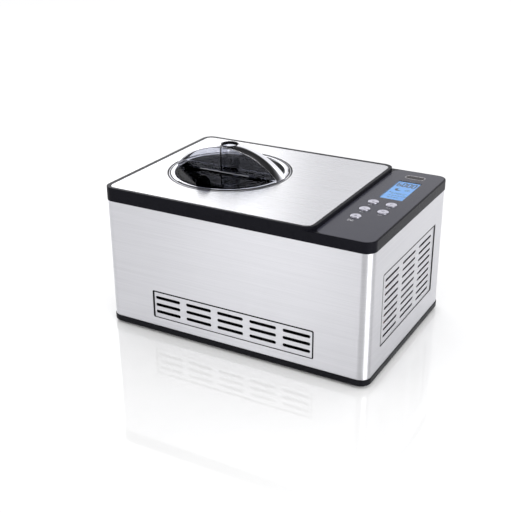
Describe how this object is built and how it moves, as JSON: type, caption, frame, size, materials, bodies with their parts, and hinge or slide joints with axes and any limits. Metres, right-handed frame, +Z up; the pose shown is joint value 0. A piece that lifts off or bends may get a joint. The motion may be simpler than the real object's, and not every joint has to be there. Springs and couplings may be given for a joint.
{
  "type": "ice cream maker",
  "caption": "Countertop ice cream maker with its own compressor: steel case, lift-out bowl and paddle under a clear arched lid, and a control deck at the right.",
  "frame": {"origin": "middle of the footprint, on the surface that the feet stand on", "axes": "+X to the user's right, -Y towards the user, +Z up"},
  "size_m": [0.425, 0.29, 0.263],
  "materials": {
    "tray_black": "matt black moulding",
    "brushed_body": "stainless, fine horizontal brushing",
    "plain_steel": "zinc-coated sheet",
    "screw_steel": "plated screws",
    "band_black": "black, half gloss",
    "brushed_top": "stainless, fine brushing",
    "panel_grey": "dark grey, gloss",
    "screen_clear": "clear window",
    "screen_blue": "lit blue display",
    "badge_metal": "blank badge",
    "board_green": "circuit board",
    "switch_black": "key switches",
    "ring_chrome": "polished ring",
    "well_aluminium": "drawn aluminium",
    "tube_copper": "copper tube",
    "foam": "moulded foam",
    "compressor_black": "black enamel",
    "soft_rubber": "soft rubber",
    "fin_aluminium": "thin fins",
    "fan_plastic": "black moulding",
    "gearbox_grey": "filled nylon",
    "shaft_steel": "ground steel",
    "bush_bronze": "bronze",
    "motor_steel": "zinc-plated can",
    "socket_black": "black inlet",
    "ribbon_grey": "flat cable",
    "gear_white": "acetal",
    "bowl_steel": "drawn stainless bowl",
    "paddle_plastic": "light translucent moulding",
    "scraper_silicone": "light silicone",
    "lid_clear": "clear, slightly smoky",
    "flap_clear": "clear, slightly smoky",
    "strap_chrome": "polished strap",
    "button_silver": "satin silver"
  },
  "bodies": {
    "case": {"base_tray": "tray_black", "foot_front_left": "soft_rubber", "foot_front_right": "soft_rubber", "foot_rear_left": "soft_rubber", "foot_rear_right": "soft_rubber", "body_wrapper": "brushed_body", "rear_panel": "plain_steel", "case_screws": "screw_steel", "top_housing": "band_black", "top_plate": "brushed_top", "control_overlay": "panel_grey", "display_window": "screen_clear", "display_module": "screen_blue", "badge": "badge_metal", "control_board": "board_green", "key_switches": "switch_black", "well_ring": "ring_chrome", "cooling_well": "well_aluminium", "evaporator_coil": "tube_copper", "insulation_block": "foam", "compressor": "compressor_black", "compressor_grommets": "soft_rubber", "condenser_tubes": "tube_copper", "condenser_fins": "fin_aluminium", "fan_shroud": "fan_plastic", "fan_motor": "fan_plastic", "filter_drier": "tube_copper", "discharge_line": "tube_copper", "suction_line": "tube_copper", "liquid_line": "tube_copper", "gearbox_case": "gearbox_grey", "gearbox_cover": "gearbox_grey", "idler_pin": "shaft_steel", "shaft_bushes": "bush_bronze", "shaft_seal": "soft_rubber", "drive_motor": "motor_steel", "gearbox_stands": "gearbox_grey", "power_board": "board_green", "power_inlet": "socket_black", "ribbon_cable": "ribbon_grey"},
    "bowl": {"ice_bowl": "bowl_steel"},
    "washer": {"thrust_washer": "gear_white"},
    "paddle": {"mixing_paddle": "paddle_plastic", "paddle_scrapers": "scraper_silicone"},
    "seal": {"lid_seal": "scraper_silicone"},
    "lid": {"lid_disc": "lid_clear", "lid_arch": "lid_clear", "handle_strap": "strap_chrome", "flap_pin": "shaft_steel"},
    "flap": {"fill_flap": "flap_clear"},
    "drive": {"drive_shaft": "shaft_steel", "output_gear": "gear_white"},
    "idler": {"idler_gear": "gear_white"},
    "pinion": {"motor_pinion": "bush_bronze"},
    "fan": {"fan_rotor": "fan_plastic"},
    "button_menu": {"button_menu": "button_silver"},
    "button_minus": {"button_minus": "button_silver"},
    "button_plus": {"button_plus": "button_silver"},
    "button_power": {"button_power": "button_silver"},
    "button_start": {"button_start": "button_silver"}
  },
  "joints": [
    {"name": "bowl_lift", "type": "slide", "parent": "case", "child": "bowl", "axis": [0, 0, 1], "range_m": [0, 0.15]},
    {"name": "paddle_lift", "type": "slide", "parent": "bowl", "child": "washer", "axis": [0, 0, 1], "range_m": [0, 0.14]},
    {"name": "paddle_spin", "type": "hinge", "parent": "washer", "child": "paddle", "pos_m": [-0.0845, 0.004, 0.1], "axis": [0, 0, 1], "continuous": true},
    {"name": "lid_lift", "type": "slide", "parent": "washer", "child": "seal", "axis": [0, 0, 1], "range_m": [0, 0.12]},
    {"name": "lid_turn", "type": "hinge", "parent": "seal", "child": "lid", "pos_m": [-0.0845, 0.004, 0.218], "axis": [0, 0, 1], "range_deg": [0, 30]},
    {"name": "flap_hinge", "type": "hinge", "parent": "lid", "child": "flap", "pos_m": [-0.0845, -0.013, 0.2226], "axis": [-1, 0, 0], "range_deg": [0, 90]},
    {"name": "drive_spin", "type": "hinge", "parent": "case", "child": "drive", "pos_m": [-0.0845, 0.004, 0.066], "axis": [0, 0, 1], "continuous": true},
    {"name": "idler_spin", "type": "hinge", "parent": "case", "child": "idler", "pos_m": [-0.047, 0.004, 0.06], "axis": [0, 0, 1], "continuous": true},
    {"name": "pinion_spin", "type": "hinge", "parent": "case", "child": "pinion", "pos_m": [-0.017, 0.004, 0.05], "axis": [0, 0, 1], "continuous": true},
    {"name": "fan_spin", "type": "hinge", "parent": "case", "child": "fan", "pos_m": [0.16, 0, 0.101], "axis": [1, 0, 0], "continuous": true},
    {"name": "button_menu_press", "type": "slide", "parent": "case", "child": "button_menu", "axis": [0, 0, -1], "range_m": [0, 0.0008], "stiffness_N_per_m": 1200, "springref_m": -0.0006},
    {"name": "button_minus_press", "type": "slide", "parent": "case", "child": "button_minus", "axis": [0, 0, -1], "range_m": [0, 0.0008], "stiffness_N_per_m": 1200, "springref_m": -0.0006},
    {"name": "button_plus_press", "type": "slide", "parent": "case", "child": "button_plus", "axis": [0, 0, -1], "range_m": [0, 0.0008], "stiffness_N_per_m": 1200, "springref_m": -0.0006},
    {"name": "button_power_press", "type": "slide", "parent": "case", "child": "button_power", "axis": [0, 0, -1], "range_m": [0, 0.0008], "stiffness_N_per_m": 1200, "springref_m": -0.0006},
    {"name": "button_start_press", "type": "slide", "parent": "case", "child": "button_start", "axis": [0, 0, -1], "range_m": [0, 0.0008], "stiffness_N_per_m": 1200, "springref_m": -0.0006}
  ],
  "couplings": [
    {"joint": "paddle_spin", "follows": "drive_spin", "ratio": 1},
    {"joint": "idler_spin", "follows": "drive_spin", "ratio": -4},
    {"joint": "pinion_spin", "follows": "drive_spin", "ratio": 12}
  ]
}
